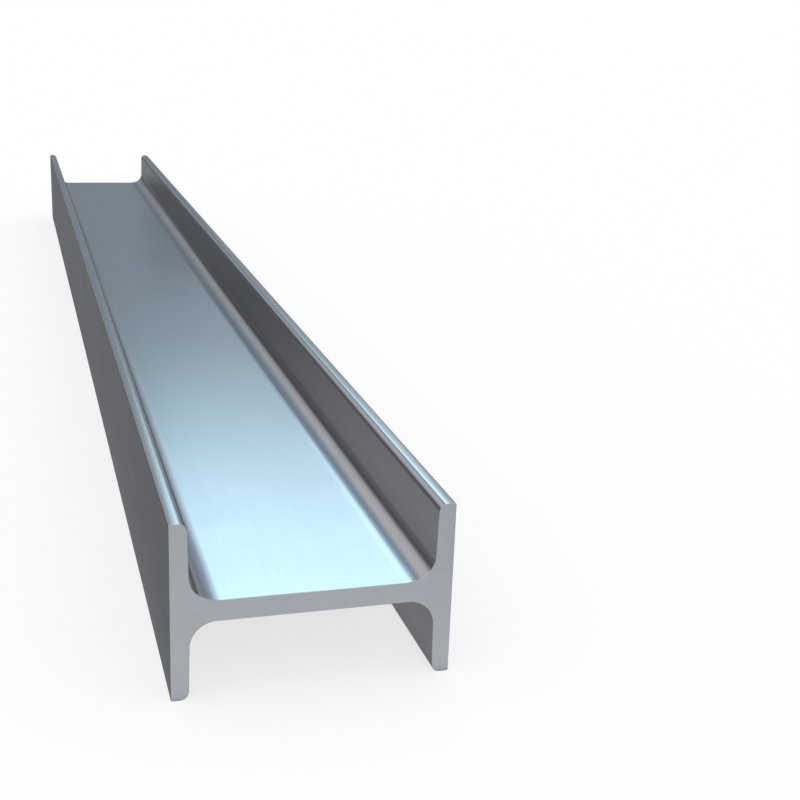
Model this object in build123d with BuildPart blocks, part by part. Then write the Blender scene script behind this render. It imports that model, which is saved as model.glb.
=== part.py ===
"""Steel H-beam: one length of hot-rolled section, lying as an H on its flange tips.

The web is level and the two flanges stand upright along its edges. X runs along the length, Y across
the section's depth from flange to flange, and Z up along the flange width. The origin is on the floor,
at the middle of the footprint. Sizes are in millimetres.
"""

import math
import os

from build123d import *

# Rolled section
section_depth = 153.0  # from the outer face of one flange to the outer face of the other
flange_width = 100.0  # from one flange tip to the other
flange_thickness = 10.0  # measured halfway between the middle of the web and the flange tip
web_thickness = 11.7
flange_taper = 1.2  # degrees that a flange's inner face leans, so that it is thicker at the root
root_radius = 14.5  # hollow between the web and the flange's inner face
toe_radius = 4.9  # inner edge of the flange tip
heel_radius = 0.7  # outer edge of the flange tip

# Stock length
beam_length = 1550.0
sawn_edge_break = 0.3  # arris filed off round both sawn ends

half_depth = section_depth / 2
half_width = flange_width / 2
half_web = web_thickness / 2
taper_slope = math.tan(math.radians(flange_taper))


def inner_face(height):
    """Distance from the section's centre line to a flange's inner face, at a height above mid-web."""
    return half_depth - flange_thickness - taper_slope * (flange_width / 4 - height)


# The section's corners, clockwise: a root, toe and heel above the web, the same below it, and both again
# turned half way round for the other flange.
upper_corners = [
    (inner_face(half_web), half_web),
    (inner_face(half_width), half_width),
    (half_depth, half_width),
]
upper_radii = [root_radius, toe_radius, heel_radius]
flange_corners = upper_corners + [(across, -height) for across, height in reversed(upper_corners)]
flange_radii = upper_radii + upper_radii[::-1]
section_corners = flange_corners + [(-across, -height) for across, height in flange_corners]

# It stands across the length, with its lower flange tips on the floor.
section_plane = Plane(origin=(0, 0, half_width), x_dir=(0, 1, 0), z_dir=(1, 0, 0))

with BuildPart() as h_beam:
    with BuildSketch(section_plane):
        with BuildLine():
            FilletPolyline(*section_corners, radius=flange_radii * 2, close=True)
        make_face()
    extrude(amount=beam_length / 2, both=True)
    sawn_ends = h_beam.faces().filter_by(Axis.X)
    chamfer(sawn_ends.edges(), length=sawn_edge_break)

h_beam.part.label = "h_beam"

os.makedirs("parts", exist_ok=True)
export_step(h_beam.part, "parts/h_beam.step")
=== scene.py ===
"""The looks of a steel H-beam: bright rolled faces, sawn ends and the studio that it lies in.

Lengths are in metres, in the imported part's frame: X runs along the beam, Y across its depth from flange to
flange and Z up along the flange width, with the floor at Z = 0. Angles are in degrees where a name ends so.
"""

from __future__ import annotations

import logging
import math
from dataclasses import dataclass, field
from enum import Enum, IntEnum

import bmesh
import bpy
import numpy as np
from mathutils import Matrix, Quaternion, Vector


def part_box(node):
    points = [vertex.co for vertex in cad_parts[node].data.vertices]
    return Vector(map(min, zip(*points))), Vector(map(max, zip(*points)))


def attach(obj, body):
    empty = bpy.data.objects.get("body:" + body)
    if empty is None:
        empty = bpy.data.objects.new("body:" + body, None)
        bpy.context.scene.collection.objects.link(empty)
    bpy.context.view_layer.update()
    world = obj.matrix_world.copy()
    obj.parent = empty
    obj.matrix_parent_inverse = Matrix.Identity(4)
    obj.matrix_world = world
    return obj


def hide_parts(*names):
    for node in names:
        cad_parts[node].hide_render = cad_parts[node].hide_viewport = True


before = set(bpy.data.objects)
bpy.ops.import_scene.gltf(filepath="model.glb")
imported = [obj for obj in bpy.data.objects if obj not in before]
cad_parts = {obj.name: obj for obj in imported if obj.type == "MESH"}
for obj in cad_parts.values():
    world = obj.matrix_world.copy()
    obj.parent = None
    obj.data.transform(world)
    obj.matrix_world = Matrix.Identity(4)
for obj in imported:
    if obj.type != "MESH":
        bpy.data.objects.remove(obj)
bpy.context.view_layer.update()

NODE = "h_beam"
BODY = "root"
MM = 0.001

Colour = tuple[float, float, float, float]
WHITE: Colour = (1.0, 1.0, 1.0, 1.0)
log = logging.getLogger("h_beam")


class Finish(IntEnum):
    """The beam's two kinds of surface, in the order of its mesh's material slots."""

    ROLLED = 0
    SAWN = 1


class Mask(Enum):
    """Point attributes that tell the materials which form of the section they are on."""

    ARRIS = "arris"
    # Painted shade along the roots.
    PAINTED_SHADE = "painted_shade"


class Form(IntEnum):
    """The forms that are marked along an outline, in the order of its columns of masks."""

    ARRIS = 0
    # Painted shade lines: lasting ones, ones fading out from the near end, ones fading in away from it, and
    # ones right at the near end.
    LASTING_PAINTED_SHADE = 1
    NEAR_PAINTED_SHADE = 2
    FAR_PAINTED_SHADE = 3
    END_PAINTED_SHADE = 4


def smooth_step(values: np.ndarray, low: float, high: float) -> np.ndarray:
    """Maps low to high onto 0 to 1 as 3 t squared - 2 t cubed, and holds the ends."""
    share = np.clip((values - low) / (high - low), 0, 1)
    return share * share * (3 - 2 * share)


@dataclass(frozen=True)
class PaintedShadeLine:
    """A painted line of shade along a root: it fades in and out between four headings, up to a depth from 0
    to 1.
    """

    depth: float
    degrees: tuple[float, float, float, float]

    def at(self, turned: np.ndarray) -> np.ndarray:
        """How dark the line is at each heading in degrees: a smooth step up less a smooth step down."""
        start, full, ebb, end = self.degrees
        return self.depth * (smooth_step(turned, start, full) - smooth_step(turned, ebb, end))


@dataclass(frozen=True)
class Root:
    """The hollow between the web and a flange: it may run out onto the web, in two wider bends.

    Its painted shade lines are one along the web, one along the flange that fades out far from the near end,
    some that only show away from it, some that only show right at it, and a faint painted shade on the foot
    of the flange's face. They stand in for the shade and dark reflections of the channel itself.
    """

    radius: float
    run_out_radius: float
    slope_radius: float
    run_out_degrees: float = 11.0
    slope_degrees: float = 15.0
    # Painted shade lines in the hollow and on the flange's foot.
    web_painted_shade: PaintedShadeLine = PaintedShadeLine(depth=0.6, degrees=(11.0, 13.0, 14.5, 18.0))
    flange_painted_shade: PaintedShadeLine = PaintedShadeLine(depth=0.6, degrees=(47.0, 54.0, 56.0, 63.0))
    far_painted_shades: tuple[PaintedShadeLine, ...] = ()
    end_painted_shades: tuple[PaintedShadeLine, ...] = ()
    face_shade: PaintedShadeLine = PaintedShadeLine(depth=0.24, degrees=(64.0, 80.0, 90.0, 91.0))

    def bends(self, upright: float) -> list[tuple[float, float]]:
        """Where each bend ends, as a heading in radians, and its radius, from the web up to the face."""
        return [
            (math.radians(self.run_out_degrees), self.run_out_radius),
            (math.radians(self.slope_degrees), self.slope_radius),
            (upright, self.radius),
        ]


@dataclass
class Outline:
    """A run of outline points with their outward normals and their masks, one row for each point."""

    points: np.ndarray
    normals: np.ndarray
    masks: np.ndarray

    def mirrored(self, across: int) -> Outline:
        """The same run in a mirror, walked the other way so that it still goes clockwise.

        Args:
            across: the coordinate that changes sign, 0 for Y and 1 for Z.

        Returns:
            The mirrored run.
        """
        sign = np.ones(2)
        sign[across] = -1
        return Outline((self.points * sign)[::-1], (self.normals * sign)[::-1], self.masks[::-1])

    @staticmethod
    def joined(runs: list[Outline]) -> Outline:
        """Several runs end to end, as one."""
        return Outline(
            np.concatenate([run.points for run in runs]),
            np.concatenate([run.normals for run in runs]),
            np.concatenate([run.masks for run in runs]),
        )


@dataclass
class Walk:
    """An outline drawn by walking it clockwise: each step starts where the last one ended.

    The outward normal is always a quarter turn left of the heading.
    """

    point: np.ndarray
    root: Root
    heading: float = 0.0
    flat_margin: float = 0.2 * MM
    shade_reach: float = 14.0 * MM
    runs: list[Outline] = field(default_factory=list)

    def left(self, heading: np.ndarray) -> np.ndarray:
        """Unit vectors a quarter turn left of the given headings, in radians."""
        return np.stack([-np.sin(heading), np.cos(heading)], axis=-1)

    def add(self, points: np.ndarray, headings: np.ndarray, marks: dict[Form, np.ndarray | float]) -> None:
        """Keeps a run of points with its normals and masks."""
        masks = np.zeros((len(points), len(Form)))
        for form, values in marks.items():
            masks[:, form] = values
        self.runs.append(Outline(points, self.left(headings), masks))

    def straight(self, length: float, steps: int, shade: float = 0.0) -> None:
        """Walks straight on. The first and last steps are short, so that the shading is flat in between.

        Args:
            length: how far. The run's two end points belong to the bends beside it.
            steps: how many points it has between them.
            shade: the painted shade mask that it starts with, which fades out along it.
        """
        ahead = np.array([math.cos(self.heading), math.sin(self.heading)])
        along = np.linspace(self.flat_margin, length - self.flat_margin, steps)
        fading = shade * (1 - smooth_step(along, 0, self.shade_reach))
        points = self.point + along[:, None] * ahead
        self.add(points, np.full(len(along), self.heading), {Form.LASTING_PAINTED_SHADE: fading})
        self.point = self.point + length * ahead

    def bend(self, turn: float, radius: float, steps: int, arris: float = 0.0) -> None:
        """Walks round part of a circle: each point is the centre less one radius along its own normal.

        Args:
            turn: how far it turns, in radians. To the left it is part of a root, to the right of an arris.
            radius: the circle's radius.
            steps: how many points it has, its two ends among them.
            arris: the arris mask of a bend to the right.
        """
        side = math.copysign(1.0, turn)
        centre = self.point + side * radius * self.left(np.array(self.heading))
        headings = self.heading + np.linspace(0, turn, steps)
        points = centre - side * radius * self.left(headings)
        turned = np.degrees(headings)
        # Painted shade of the root, by heading.
        in_root = {
            Form.LASTING_PAINTED_SHADE: self.root.web_painted_shade.at(turned) + self.root.face_shade.at(turned),
            Form.NEAR_PAINTED_SHADE: self.root.flange_painted_shade.at(turned),
            Form.FAR_PAINTED_SHADE: sum(painted_shade.at(turned) for painted_shade in self.root.far_painted_shades),
            Form.END_PAINTED_SHADE: sum(painted_shade.at(turned) for painted_shade in self.root.end_painted_shades),
        }
        self.add(points, headings, in_root if turn > 0 else {Form.ARRIS: arris})
        self.point, self.heading = points[-1], float(headings[-1])


@dataclass(frozen=True)
class RolledSection:
    """The rolled section, drawn about its own centre with Y across and Z up. Its left is at +Y."""

    depth: float
    width: float
    web_thickness: float = 11.7 * MM
    flange_thickness: float = 10.0 * MM
    flange_taper_degrees: float = 1.2
    # The roots' painted shade lines: the left root's only right at the near end, the right root's away from
    # it.
    left_root: Root = Root(
        radius=13.5 * MM,
        run_out_radius=20.0 * MM,
        slope_radius=55.0 * MM,
        end_painted_shades=(
            PaintedShadeLine(depth=0.5, degrees=(3.0, 9.0, 22.0, 29.0)),
            PaintedShadeLine(depth=1.0, degrees=(41.0, 47.0, 55.0, 66.0)),
        ),
    )
    right_root: Root = Root(
        radius=13.5 * MM,
        run_out_radius=20.0 * MM,
        slope_radius=55.0 * MM,
        far_painted_shades=(
            PaintedShadeLine(depth=0.75, degrees=(-1.0, 7.0, 11.5, 13.5)),
            PaintedShadeLine(depth=0.35, degrees=(61.0, 68.0, 76.0, 90.0)),
        ),
    )
    lower_root: Root = Root(radius=14.5 * MM, run_out_radius=14.5 * MM, slope_radius=14.5 * MM)
    toe_radius: float = 4.9 * MM
    heel_radius: float = 0.7 * MM
    tip_crown_radius: float = 45.0 * MM
    web_steps: int = 11
    bend_steps: int = 26
    small_steps: int = 8
    side_rows: int = 20

    def inner_face(self, height: float) -> float:
        """Distance from the centre line to a flange's inner face, at a height above mid-web."""
        lean = math.tan(math.radians(self.flange_taper_degrees)) * (self.width / 4 - height)
        return self.depth / 2 - self.flange_thickness - lean

    def quarter(self, root: Root) -> Outline:
        """The outline from the web's middle round a flange tip, to where the flange's outer face begins.

        Straight along the web, round the root, up the leaning face, round the toe, over the faintly
        crowned tip and round the heel. A bend from heading a to heading b goes across by its radius x
        (sin b - sin a) and up by its radius x (cos a - cos b), so the root starts the sum of the first
        short of the leaning face. The toe starts radius x tan(upright / 2) before its sharp corner. The
        crown turns by the angle whose sine is the tip's width over the two radii's difference, which lets
        the heel end on the outer face.

        Args:
            root: the hollow's shape and its seams.

        Returns:
            The quarter of the outline.
        """
        half_web, half_width = self.web_thickness / 2, self.width / 2
        toe = np.array([self.inner_face(half_width), half_width])
        upright = math.radians(90 - self.flange_taper_degrees)
        bends = root.bends(upright)
        across = rise = start = 0.0
        for end, radius in bends:
            across += radius * (math.sin(end) - math.sin(start))
            rise += radius * (math.cos(start) - math.cos(end))
            start = end
        cut_toe = self.toe_radius * math.tan(upright / 2)
        tip = self.depth / 2 - toe[0] - cut_toe - self.heel_radius
        crown = math.asin(tip / (self.tip_crown_radius - self.heel_radius))

        walk = Walk(np.array([0.0, half_web]), root)
        walk.straight(self.inner_face(half_web + rise) - across, self.web_steps)
        for end, radius in bends:
            walk.bend(end - walk.heading, radius, self.bend_steps if end == upright else self.small_steps)
        face = float(np.hypot(*(toe - walk.point)))
        walk.straight(face - cut_toe, self.bend_steps, shade=root.face_shade.depth)
        walk.bend(-upright, self.toe_radius, self.bend_steps)
        walk.bend(-crown, self.tip_crown_radius, self.small_steps, arris=1.0)
        walk.bend(crown - math.pi / 2, self.heel_radius, self.small_steps, arris=1.0)
        return Outline.joined(walk.runs)

    def top(self) -> Outline:
        """The upper outline, from the right flange's outer face to the left flange's."""
        return Outline.joined([self.quarter(self.right_root).mirrored(0), self.quarter(self.left_root)])

    def bottom(self) -> Outline:
        """The lower outline, from the left flange's outer face to the right flange's."""
        quarter = self.quarter(self.lower_root)
        return Outline.joined([quarter.mirrored(0), quarter]).mirrored(1)

    def side(self) -> Outline:
        """The left flange's outer face from top to bottom, without its ends."""
        end = self.top().points[-1]
        heights = np.linspace(end[1], -end[1], self.side_rows + 1)[1:-1]
        points = np.stack([np.full_like(heights, end[0]), heights], axis=-1)
        return Outline(points, np.tile([1.0, 0.0], (len(heights), 1)), np.zeros((len(heights), len(Form))))

    def ring(self) -> Outline:
        """The whole outline, clockwise from the right flange's outer face."""
        side = self.side()
        return Outline.joined([self.top(), side, self.bottom(), side.mirrored(0)])


@dataclass(frozen=True)
class Unevenness:
    """How far the rolled faces stray from flat: long shallow waves that only ever go inwards."""

    depth: float = 0.06 * MM
    along: tuple[float, ...] = (0.43, 0.27, 0.171)
    across: tuple[float, ...] = (0.21, 0.13, 0.083)
    slant: float = 0.6

    def at(self, x: np.ndarray, y: np.ndarray, z: np.ndarray) -> np.ndarray:
        """How far in each point lies.

        The mean of three products of two sines, one of X and one of Y + slant x Z, brought to 0 to 1 and
        multiplied by the depth.

        Args:
            x: places along the beam.
            y: places across it.
            z: heights.

        Returns:
            Distances from 0 to the full depth.
        """
        waves = [
            np.sin(math.tau * x / long + index) * np.sin(math.tau * (y + self.slant * z) / wide + index)
            for index, (long, wide) in enumerate(zip(self.along, self.across))
        ]
        return self.depth * (0.5 + 0.5 * sum(waves) / len(waves))


@dataclass
class BeamSkin:
    """The beam's one closed surface: the section carried along X, its filed arrises and its sawn ends."""

    section: RolledSection
    length: float
    unevenness: Unevenness = Unevenness()
    edge_break: float = 0.3 * MM
    end_margin: float = 0.9 * MM
    break_steps: int = 5
    station_step: float = 12.0 * MM
    rim_share: float = 0.002
    near_painted_shade_fade: tuple[float, float] = (-0.25, 0.45)
    far_painted_shade_fade: tuple[float, float] = (-0.72, -0.35)
    end_painted_shade_fade: tuple[float, float] = (-0.74, -0.62)

    def stations(self) -> tuple[np.ndarray, np.ndarray]:
        """Places along X and how far the outline is drawn in at each.

        Each arris is a quarter circle: at an angle a from the sawn face, it is radius x (1 - sin a) in
        from the end and radius x (1 - cos a) in from the rolled face.

        Returns:
            Two arrays, the places and the insets.
        """
        angle = np.linspace(math.pi / 2, 0, self.break_steps)
        in_from_end = self.edge_break * (1 - np.sin(angle))
        inset = self.edge_break * (1 - np.cos(angle))
        half = self.length / 2
        straight = half - self.end_margin
        middle = np.linspace(-straight, straight, round(2 * straight / self.station_step) + 1)
        places = np.concatenate([in_from_end - half, middle, (half - in_from_end)[::-1]])
        insets = np.concatenate([inset, np.zeros(len(middle)), inset[::-1]])
        return places, insets

    def carried(self, outline: Outline) -> tuple[np.ndarray, dict[Mask, np.ndarray]]:
        """The outline carried along the stations, as a grid of points.

        The near and the end painted shade lines fade out along X, the far ones fade in, and every filed
        arris counts as one.

        Args:
            outline: the closed ring.

        Returns:
            Grid points, stations x ring x 3, and each mask, stations x ring.
        """
        places, insets = self.stations()
        flat = outline.points[None] - insets[:, None, None] * outline.normals[None]
        x = np.broadcast_to(places[:, None], flat.shape[:2])
        on_tip = np.abs(outline.points[:, 1]) > self.section.width / 2 - self.section.toe_radius
        strays = self.unevenness.at(x, flat[..., 0], flat[..., 1]) * (insets == 0)[:, None] * ~on_tip
        flat = flat - strays[..., None] * outline.normals[None]
        arris, lasting, near, far, end = outline.masks.T
        # Painted shade along the roots, faded along the beam.
        painted_shade = (
            lasting[None]
            + (1 - smooth_step(places, *self.near_painted_shade_fade))[:, None] * near[None]
            + (1 - smooth_step(places, *self.end_painted_shade_fade))[:, None] * end[None]
            + smooth_step(places, *self.far_painted_shade_fade)[:, None] * far[None]
        )
        masks = {
            Mask.ARRIS: np.maximum((insets > 0)[:, None], arris[None]),
            Mask.PAINTED_SHADE: np.clip(painted_shade, 0, 1),
        }
        return np.concatenate([x[..., None], flat], axis=-1), masks

    def sawn_end(self, sign: int) -> np.ndarray:
        """One sawn face: a column from each point of the upper outline to its partner on the lower one.

        Args:
            sign: -1 for the near end and 1 for the far one.

        Returns:
            Grid points, columns x rows x 3. The first and last rows are narrow, so that the face is flat.
        """
        top, bottom = self.section.top(), self.section.bottom()
        upper = top.points - self.edge_break * top.normals
        lower = (bottom.points - self.edge_break * bottom.normals)[::-1]
        inside = np.linspace(self.rim_share, 1 - self.rim_share, self.section.side_rows - 1)
        fall = np.concatenate([[0.0], inside, [1.0]])[None, :, None]
        flat = upper[:, None] * (1 - fall) + lower[:, None] * fall
        return np.concatenate([np.full_like(flat[..., :1], sign * self.length / 2), flat], axis=-1)

    @staticmethod
    def quads(rows: int, columns: int, first: int, closed: bool, flip: bool) -> np.ndarray:
        """Faces of a grid of points that are numbered row by row.

        Args:
            rows: how many rows of points.
            columns: how many points in a row.
            first: the first point's number.
            closed: whether each row joins up with its own start.
            flip: whether the faces are wound the other way.

        Returns:
            One row for each face, with its four point numbers.
        """
        span = columns if closed else columns - 1
        row, column = np.meshgrid(np.arange(rows - 1), np.arange(span), indexing="ij")
        beside = (column + 1) % columns
        low, high = row * columns, (row + 1) * columns
        faces = np.stack([low + column, low + beside, high + beside, high + column], axis=-1)
        faces = faces.reshape(-1, 4) + first
        return faces[:, ::-1] if flip else faces

    def build(self) -> bpy.types.Object:
        """Makes the mesh, closes its seams and returns the object."""
        skin, masks = self.carried(self.section.ring())
        near, far = self.sawn_end(-1), self.sawn_end(1)
        points = np.concatenate([grid.reshape(-1, 3) for grid in (skin, near, far)])
        points[:, 2] += self.section.width / 2
        skin_count, end_count = skin.shape[0] * skin.shape[1], near.shape[0] * near.shape[1]
        rolled = self.quads(*skin.shape[:2], 0, closed=True, flip=False)
        sawn = np.concatenate([
            self.quads(*near.shape[:2], skin_count, closed=False, flip=False),
            self.quads(*far.shape[:2], skin_count + end_count, closed=False, flip=True),
        ])
        mesh = bpy.data.meshes.new("rolled_beam")
        mesh.from_pydata(points, [], np.concatenate([rolled, sawn]))
        finish = np.repeat([Finish.ROLLED, Finish.SAWN], [len(rolled), len(sawn)]).astype(np.int32)
        mesh.polygons.foreach_set("material_index", finish)
        for mask, values in masks.items():
            attribute = mesh.attributes.new(mask.value, "FLOAT", "POINT")
            everywhere = np.concatenate([values.ravel(), np.zeros(2 * end_count)])
            attribute.data.foreach_set("value", everywhere.astype(np.float32))
        close_seams(mesh)
        beam = bpy.data.objects.new("rolled_beam", mesh)
        bpy.context.scene.collection.objects.link(beam)
        return beam


def close_seams(mesh: bpy.types.Mesh, gap: float = 0.002 * MM, crease_degrees: float = 35.0) -> None:
    """Merges the points that two grids share, turns the faces outwards and smooths all but sharp creases.

    Args:
        mesh: the mesh to close.
        gap: points nearer than this are one.
        crease_degrees: faces that meet at more than this stay sharp.
    """
    work = bmesh.new()
    work.from_mesh(mesh)
    bmesh.ops.remove_doubles(work, verts=work.verts, dist=gap)
    bmesh.ops.recalc_face_normals(work, faces=work.faces)
    work.to_mesh(mesh)
    work.free()
    mesh.polygons.foreach_set("use_smooth", np.ones(len(mesh.polygons), bool))
    mesh.set_sharp_from_angle(angle=math.radians(crease_degrees))
    mesh.update()


class Tree:
    """A short way to write a shader node tree: makes nodes, sets their inputs and links them."""

    def __init__(self, tree: bpy.types.NodeTree) -> None:
        """Keeps the tree that the nodes go into."""
        self.tree = tree

    @classmethod
    def of(cls, owner: bpy.types.Material | bpy.types.World) -> Tree:
        """The emptied node tree of a material or a world."""
        owner.use_nodes = True
        owner.node_tree.nodes.clear()
        return cls(owner.node_tree)

    def node(self, kind: str, inputs: dict | None = None, **settings: object) -> bpy.types.Node:
        """Adds a node.

        Args:
            kind: the node's type name.
            inputs: values or sockets for its inputs, by name or number.
            settings: properties of the node itself.

        Returns:
            The new node.
        """
        made = self.tree.nodes.new(kind)
        for name, value in settings.items():
            setattr(made, name, value)
        for name, value in (inputs or {}).items():
            self.feed(made.inputs[name], value)
        return made

    def feed(self, socket: bpy.types.NodeSocket, value: object) -> None:
        """Links a socket to another one, or sets its value."""
        if isinstance(value, bpy.types.NodeSocket):
            self.tree.links.new(value, socket)
        else:
            socket.default_value = value

    def math(self, operation: str, *values: object) -> bpy.types.NodeSocket:
        """One step of arithmetic on numbers or sockets, as a socket."""
        return self.node("ShaderNodeMath", dict(enumerate(values)), operation=operation).outputs[0]

    def ramp(self, value: object, low: float, high: float, to_low: float = 0.0,
             to_high: float = 1.0) -> bpy.types.NodeSocket:
        """Maps low to high smoothly onto to_low to to_high and holds the ends, as a socket."""
        inputs = {"Value": value, "From Min": low, "From Max": high, "To Min": to_low, "To Max": to_high}
        return self.node("ShaderNodeMapRange", inputs, interpolation_type="SMOOTHSTEP").outputs[0]

    def blend(self, share: object, first: object, second: object, how: str = "MIX") -> bpy.types.NodeSocket:
        """Brings a second colour onto a first by a share from 0 to 1, as a socket."""
        made = self.node("ShaderNodeMix", {"Factor": share}, data_type="RGBA", blend_type=how)
        colours = {socket.name: socket for socket in made.inputs if socket.type == "RGBA"}
        self.feed(colours["A"], first)
        self.feed(colours["B"], second)
        return next(socket for socket in made.outputs if socket.type == "RGBA")


def tone(red: float, green: float, blue: float) -> Colour:
    """A linear colour with full alpha."""
    return (red, green, blue, 1.0)


def new_group(name: str, inputs: dict[str, str], outputs: dict[str, str]) -> bpy.types.NodeTree:
    """A shader node group with named sockets.

    Args:
        name: the group's name.
        inputs: each input's name and socket type.
        outputs: each output's name and socket type.

    Returns:
        The group, still empty.
    """
    group = bpy.data.node_groups.new(name, "ShaderNodeTree")
    for way, sockets in (("INPUT", inputs), ("OUTPUT", outputs)):
        for label, kind in sockets.items():
            group.interface.new_socket(label, in_out=way, socket_type=kind)
    return group


@dataclass(frozen=True)
class MetalMarks:
    """The marks of rolling and sawing: fine lines drawn out along X, and soft clouds, both from 0 to 1."""

    line_detail: float = 4.0
    line_roughness: float = 0.62
    cloud_detail: float = 2.0
    cloud_roughness: float = 0.5
    cloud_distortion: float = 0.4
    noise_span: tuple[float, float] = (0.3, 0.7)

    def group(self) -> bpy.types.NodeTree:
        """Builds the node group. The lines are noise on coordinates whose X is divided by Line Stretch."""
        group = new_group(
            "metal_marks",
            {"Vector": "NodeSocketVector", "Line Stretch": "NodeSocketFloat",
             "Line Scale": "NodeSocketFloat", "Cloud Scale": "NodeSocketFloat"},
            {"Lines": "NodeSocketFloat", "Clouds": "NodeSocketFloat"},
        )
        tree = Tree(group)
        given = tree.node("NodeGroupInput").outputs
        squeeze = tree.math("DIVIDE", 1.0, given["Line Stretch"])
        scale = tree.node("ShaderNodeCombineXYZ", {"X": squeeze, "Y": 1.0, "Z": 1.0}).outputs[0]
        drawn_out = tree.node(
            "ShaderNodeVectorMath", {0: given["Vector"], 1: scale}, operation="MULTIPLY"
        ).outputs[0]
        lines = tree.node(
            "ShaderNodeTexNoise",
            {"Vector": drawn_out, "Scale": given["Line Scale"], "Detail": self.line_detail,
             "Roughness": self.line_roughness},
        ).outputs["Fac"]
        clouds = tree.node(
            "ShaderNodeTexNoise",
            {"Vector": given["Vector"], "Scale": given["Cloud Scale"], "Detail": self.cloud_detail,
             "Roughness": self.cloud_roughness, "Distortion": self.cloud_distortion},
        ).outputs["Fac"]
        lines, clouds = tree.ramp(lines, *self.noise_span), tree.ramp(clouds, *self.noise_span)
        tree.node("NodeGroupOutput", {"Lines": lines, "Clouds": clouds})
        return group


@dataclass(frozen=True)
class SteelFinish:
    """A bare steel surface: two close tones and two close roughnesses, mixed by lines and clouds."""

    name: str
    marks: bpy.types.NodeTree
    dark: Colour
    bright: Colour
    # The colour of the painted shade in the roots.
    painted_shade: Colour
    arris: Colour
    edge_tint: Colour
    smooth: float
    rough: float
    line_share: float
    line_stretch: float
    line_scale: float
    line_height: float
    cloud_scale: float
    line_turn_degrees: tuple[float, float, float] = (0.0, 0.0, 0.0)
    arris_share: float = 0.5

    def material(self) -> bpy.types.Material:
        """Builds the material."""
        made = bpy.data.materials.new(self.name)
        tree = Tree.of(made)
        place = tree.node("ShaderNodeTexCoord").outputs["Object"]
        turn = tuple(math.radians(angle) for angle in self.line_turn_degrees)
        turned = tree.node("ShaderNodeMapping", {"Vector": place, "Rotation": turn}).outputs[0]
        marks = tree.node(
            "ShaderNodeGroup",
            {"Vector": turned, "Line Stretch": self.line_stretch, "Line Scale": self.line_scale,
             "Cloud Scale": self.cloud_scale},
            node_tree=self.marks,
        ).outputs
        worn = tree.math("MULTIPLY_ADD", marks["Lines"], self.line_share,
                         tree.math("MULTIPLY", marks["Clouds"], 1 - self.line_share))
        colour = tree.blend(worn, self.dark, self.bright)
        # Painted shade in the roots, then the tint of the filed arrises.
        for mask, tint, share in ((Mask.PAINTED_SHADE, self.painted_shade, 1.0), (Mask.ARRIS, self.arris, self.arris_share)):
            near = tree.node("ShaderNodeAttribute", attribute_name=mask.value).outputs["Fac"]
            colour = tree.blend(tree.math("MULTIPLY", near, share), colour, tint)
        bump = tree.node(
            "ShaderNodeBump", {"Height": marks["Lines"], "Distance": self.line_height}
        ).outputs["Normal"]
        roughness = tree.ramp(worn, 0, 1, self.rough, self.smooth)
        shader = tree.node(
            "ShaderNodeBsdfPrincipled",
            {"Base Color": colour, "Metallic": 1.0, "Roughness": roughness, "Normal": bump,
             "Specular Tint": self.edge_tint},
        )
        tree.node("ShaderNodeOutputMaterial", {"Surface": shader.outputs[0]})
        return made


def rolled_steel(marks: bpy.types.NodeTree) -> SteelFinish:
    """Bright rolled steel: softly glossy, with faint lines drawn out along the beam."""
    return SteelFinish(
        name="rolled_steel",
        marks=marks,
        dark=tone(0.485, 0.490, 0.500),
        bright=tone(0.510, 0.515, 0.525),
        # Painted shade along the roots.
        painted_shade=tone(0.27, 0.25, 0.29),
        arris=tone(0.56, 0.50, 0.475),
        edge_tint=tone(0.68, 0.68, 0.68),
        smooth=0.165,
        rough=0.185,
        line_share=0.35,
        line_stretch=60.0,
        line_scale=420.0,
        line_height=0.0002 * MM,
        cloud_scale=9.0,
    )


def sawn_steel(marks: bpy.types.NodeTree) -> SteelFinish:
    """The sawn ends: matt, with fine lines across the section that the saw left."""
    return SteelFinish(
        name="sawn_steel",
        marks=marks,
        dark=tone(0.57, 0.585, 0.61),
        bright=tone(0.60, 0.615, 0.64),
        painted_shade=tone(0.6, 0.6, 0.6),
        arris=tone(0.6, 0.6, 0.6),
        edge_tint=WHITE,
        smooth=0.58,
        rough=0.62,
        line_share=0.5,
        line_stretch=40.0,
        line_scale=700.0,
        line_height=0.0008 * MM,
        cloud_scale=30.0,
        line_turn_degrees=(4.0, 0.0, 90.0),
    )


@dataclass(frozen=True)
class PhotoCamera:
    """The photograph's view: from beyond the near end, left of the beam and above it."""

    before_end: float = 0.604
    left_of_beam: float = 0.1456
    height: float = 0.3544
    right_degrees: float = 17.29
    down_degrees: float = 17.13
    roll_degrees: float = 2.304
    lens_mm: float = 58.04
    sensor_mm: float = 36.0
    reach: tuple[float, float] = (0.01, 200.0)

    def place(self, near_end: float) -> bpy.types.Object:
        """Makes the camera and gives it to the scene.

        Args:
            near_end: the near sawn end's place on X.

        Returns:
            The camera.
        """
        right, down = math.radians(self.right_degrees), math.radians(self.down_degrees)
        look = Vector((
            math.cos(right) * math.cos(down), -math.sin(right) * math.cos(down), -math.sin(down)
        ))
        camera = bpy.data.objects.new("photo_camera", bpy.data.cameras.new("photo_camera"))
        bpy.context.scene.collection.objects.link(camera)
        camera.location = (near_end - self.before_end, self.left_of_beam, self.height)
        camera.rotation_mode = "QUATERNION"
        roll = Quaternion((0, 0, 1), math.radians(self.roll_degrees))
        camera.rotation_quaternion = look.to_track_quat("-Z", "Y") @ roll
        camera.data.lens = self.lens_mm
        camera.data.sensor_width = self.sensor_mm
        camera.data.clip_start, camera.data.clip_end = self.reach
        bpy.context.scene.camera = camera
        return camera


class Effect(Enum):
    """What a panel of the studio does to the wall behind it."""

    ADD = "ADD"
    TINT = "MULTIPLY"


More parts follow.
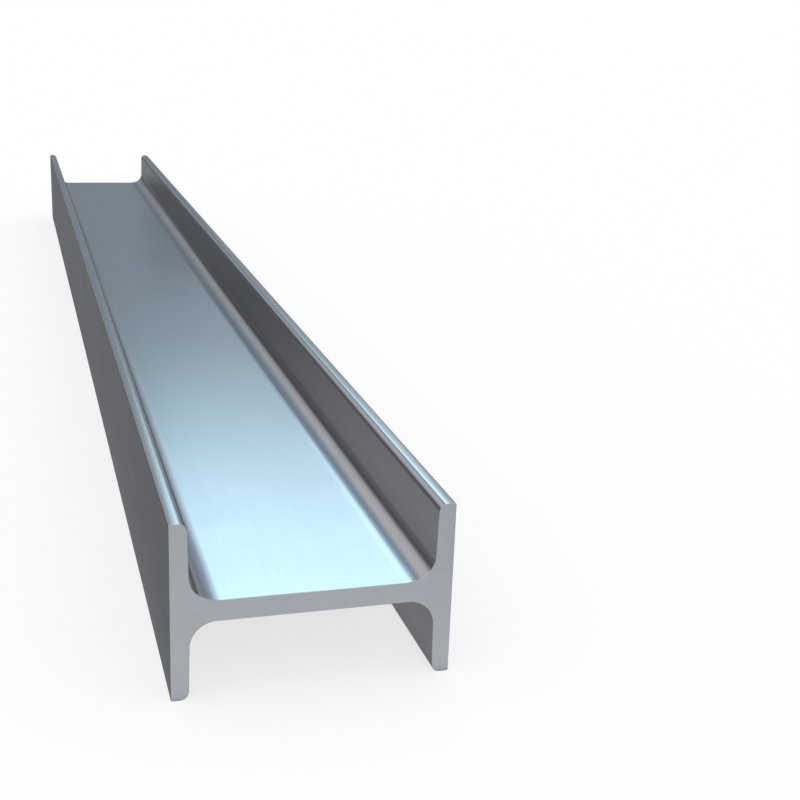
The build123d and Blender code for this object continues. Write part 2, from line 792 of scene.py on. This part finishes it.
@dataclass(frozen=True)
class Panel:
    """A soft-edged stretch of the studio's wall, lit or tinted.

    Bearings count from the beam's far end, positive to the right, and heights from the horizon. Between
    the two values of foot and top, its edge fades.
    """

    effect: Effect
    colour: Colour
    bearing_degrees: float
    half_width_degrees: float
    side_fade_degrees: float
    foot_degrees: tuple[float, float]
    top_degrees: tuple[float, float]

    def over(self, tree: Tree, wall: object, bearing: object, rise: object) -> bpy.types.NodeSocket:
        """Brings the panel onto the wall.

        Args:
            tree: the world's node tree.
            wall: the colour so far.
            bearing: the ray's bearing in degrees, as a socket.
            rise: the ray's height in degrees, as a socket.

        Returns:
            The new colour, as a socket.
        """
        aside = tree.math("WRAP", tree.math("SUBTRACT", bearing, self.bearing_degrees), 180.0, -180.0)
        edge = self.half_width_degrees
        share = tree.ramp(tree.math("ABSOLUTE", aside), edge, edge + self.side_fade_degrees, 1.0, 0.0)
        share = tree.math("MULTIPLY", share, tree.ramp(rise, *self.foot_degrees))
        share = tree.math("MULTIPLY", share, tree.ramp(rise, *self.top_degrees, 1.0, 0.0))
        return tree.blend(share, wall, self.colour, self.effect.value)


@dataclass(frozen=True)
class Studio:
    """A pale floor and a soft dome of light: dim at the horizon and bright overhead, with a few panels.

    The floor that the steel mirrors has tones of its own: one beside the beam and one far from it, which
    go by the distance from its centre line, and a painted shadow under it, which opens out at both ends. A
    painted pool of light before the near end lights the sawn face. It is narrow, to stay out of the flanges'
    outer faces.

    The panels are two tints of the wall ahead, a narrow dark stripe and a dim light low on it, the
    blue-green light that the web and the tips mirror, a low dark stretch to the left for the right root,
    a flag to the right for the left root, and a soft light behind for the near sawn end.
    """

    horizon: Colour = tone(0.30, 0.30, 0.31)
    wall: Colour = tone(0.57, 0.575, 0.61)
    high_wall: Colour = tone(0.80, 0.79, 0.83)
    ceiling: Colour = tone(0.80, 0.80, 0.84)
    wall_rise: tuple[float, float] = (0.0, 10.0)
    high_rise: tuple[float, float] = (10.0, 20.0)
    ceiling_rise: tuple[float, float] = (25.0, 50.0)
    floor_half: float = 80.0
    floor_shadow_share: float = 0.28
    floor_beside: Colour = tone(0.218, 0.225, 0.240)
    floor_far: Colour = tone(0.18, 0.18, 0.19)
    far_from: tuple[float, float] = (0.12, 0.5)
    # A painted shadow on the mirrored floor under the beam, deep in its middle and open at its ends.
    painted_shadow_open: Colour = tone(0.38, 0.38, 0.41)
    painted_shadow_deep: Colour = tone(0.150, 0.160, 0.175)
    under_half: tuple[float, float] = (0.05, 0.09)
    deep_from: tuple[float, float] = (-0.65, 0.2)
    deep_until: tuple[float, float] = (1.1, 1.4)
    # A painted pool of light on the mirrored floor before the near end.
    painted_light_pool: Colour = tone(0.635, 0.65, 0.663)
    pool_edge: tuple[float, float] = (-0.780, -0.775)
    pool_half: tuple[float, float] = (0.11, 0.32)
    panels: tuple[Panel, ...] = (
        Panel(
            Effect.TINT, tone(0.71, 0.80, 0.85), bearing_degrees=16.0, half_width_degrees=20.0,
            side_fade_degrees=6.0, foot_degrees=(0.0, 6.0), top_degrees=(50.0, 60.0),
        ),
        Panel(
            Effect.TINT, tone(0.76, 0.86, 0.88), bearing_degrees=0.0, half_width_degrees=4.0,
            side_fade_degrees=6.0, foot_degrees=(9.0, 18.0), top_degrees=(50.0, 60.0),
        ),
        Panel(
            Effect.TINT, tone(0.55, 0.57, 0.58), bearing_degrees=7.2, half_width_degrees=0.7,
            side_fade_degrees=1.4, foot_degrees=(4.0, 8.0), top_degrees=(10.5, 13.5),
        ),
        Panel(
            Effect.ADD, tone(0.18, 0.24, 0.30), bearing_degrees=20.0, half_width_degrees=8.0,
            side_fade_degrees=8.0, foot_degrees=(-8.0, -1.0), top_degrees=(3.0, 9.0),
        ),
        Panel(
            Effect.ADD, tone(1.00, 1.65, 1.95), bearing_degrees=12.9, half_width_degrees=6.1,
            side_fade_degrees=4.0, foot_degrees=(13.5, 25.5), top_degrees=(45.0, 55.0),
        ),
        Panel(
            Effect.TINT, tone(0.38, 0.38, 0.39), bearing_degrees=-45.0, half_width_degrees=30.0,
            side_fade_degrees=5.0, foot_degrees=(-4.0, 0.0), top_degrees=(5.0, 12.0),
        ),
        Panel(
            Effect.TINT, tone(0.58, 0.65, 0.69), bearing_degrees=68.0, half_width_degrees=30.0,
            side_fade_degrees=10.0, foot_degrees=(-4.0, 0.0), top_degrees=(45.0, 55.0),
        ),
        Panel(
            Effect.ADD, tone(0.35, 0.35, 0.36), bearing_degrees=180.0, half_width_degrees=60.0,
            side_fade_degrees=30.0, foot_degrees=(-5.0, 5.0), top_degrees=(50.0, 70.0),
        ),
    )

    def light_the_world(self) -> None:
        """Makes the world: white to the camera, even to matt surfaces, and the studio to glossy ones."""
        world = bpy.data.worlds.new("studio")
        bpy.context.scene.world = world
        tree = Tree.of(world)
        ray = tree.node("ShaderNodeSeparateXYZ", {0: tree.node("ShaderNodeTexCoord").outputs["Generated"]})
        ahead, left, up = ray.outputs
        rise = tree.math("DEGREES", tree.math("ARCSINE", up))
        bearing = tree.math("DEGREES", tree.math("ARCTAN2", tree.math("MULTIPLY", left, -1.0), ahead))
        colour = tree.blend(tree.ramp(rise, *self.wall_rise), self.horizon, self.wall)
        colour = tree.blend(tree.ramp(rise, *self.high_rise), colour, self.high_wall)
        colour = tree.blend(tree.ramp(rise, *self.ceiling_rise), colour, self.ceiling)
        for panel in self.panels:
            colour = panel.over(tree, colour, bearing, rise)
        kind = tree.node("ShaderNodeLightPath").outputs
        plain = tree.math("MAXIMUM", kind["Is Camera Ray"], kind["Is Diffuse Ray"])
        colour = tree.blend(plain, colour, WHITE)
        light = tree.node("ShaderNodeBackground", {"Color": colour})
        tree.node("ShaderNodeOutputWorld", {"Surface": light.outputs[0]})

    def lay_floor(self) -> bpy.types.Object:
        """Makes the floor: white with a faint shadow to the camera, and mid grey with a painted shadow and a
        painted pool of light in the steel.
        """
        half = self.floor_half
        mesh = bpy.data.meshes.new("floor")
        corners = [(-half, -half, 0.0), (half, -half, 0.0), (half, half, 0.0), (-half, half, 0.0)]
        mesh.from_pydata(corners, [], [(0, 1, 2, 3)])
        floor = bpy.data.objects.new("floor", mesh)
        bpy.context.scene.collection.objects.link(floor)
        made = bpy.data.materials.new("studio_floor")
        tree = Tree.of(made)
        place = tree.node("ShaderNodeSeparateXYZ", {0: tree.node("ShaderNodeTexCoord").outputs["Object"]})
        along, aside = place.outputs["X"], tree.math("ABSOLUTE", place.outputs["Y"])
        grey = tree.blend(tree.ramp(aside, *self.far_from), self.floor_beside, self.floor_far)
        # Painted shadow under the beam, lighter towards both ends.
        deep = tree.math("MULTIPLY", tree.ramp(along, *self.deep_from),
                         tree.ramp(along, *self.deep_until, 1.0, 0.0))
        under = tree.blend(deep, self.painted_shadow_open, self.painted_shadow_deep)
        grey = tree.blend(tree.ramp(aside, *self.under_half), under, grey)
        # Painted pool of light before the near end, for the sawn face.
        pool = tree.math("MULTIPLY", tree.ramp(along, *self.pool_edge, 1.0, 0.0),
                         tree.ramp(aside, *self.pool_half, 1.0, 0.0))
        grey = tree.blend(pool, grey, self.painted_light_pool)
        mirrored = tree.node("ShaderNodeEmission", {"Color": grey}).outputs[0]
        lit = tree.node("ShaderNodeBsdfDiffuse", {"Color": WHITE}).outputs[0]
        glow = tree.node("ShaderNodeEmission", {"Color": WHITE}).outputs[0]
        seen = tree.node("ShaderNodeMixShader", {0: self.floor_shadow_share, 1: glow, 2: lit}).outputs[0]
        is_seen = tree.node("ShaderNodeLightPath").outputs["Is Camera Ray"]
        shader = tree.node("ShaderNodeMixShader", {0: is_seen, 1: mirrored, 2: seen}).outputs[0]
        tree.node("ShaderNodeOutputMaterial", {"Surface": shader})
        mesh.materials.append(made)
        return floor


def main() -> None:
    """Builds the beam, the studio and the camera."""
    logging.basicConfig(level=logging.INFO, format="%(message)s")
    low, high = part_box(NODE)
    size = high - low
    PhotoCamera().place(low.x)

    skin = BeamSkin(RolledSection(depth=size.y, width=size.z), length=size.x)
    beam = skin.build()
    marks = MetalMarks().group()
    for finish in (rolled_steel(marks), sawn_steel(marks)):
        beam.data.materials.append(finish.material())
    # The steel mirrors the studio alone, so that its long faces keep even tones.
    beam.visible_glossy = False
    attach(beam, BODY)
    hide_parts(NODE)
    log.info("%s: %d faces", beam.name, len(beam.data.polygons))

    studio = Studio()
    studio.light_the_world()
    studio.lay_floor()
    bpy.context.scene.view_settings.view_transform = "Standard"


if __name__ == "__main__":
    main()
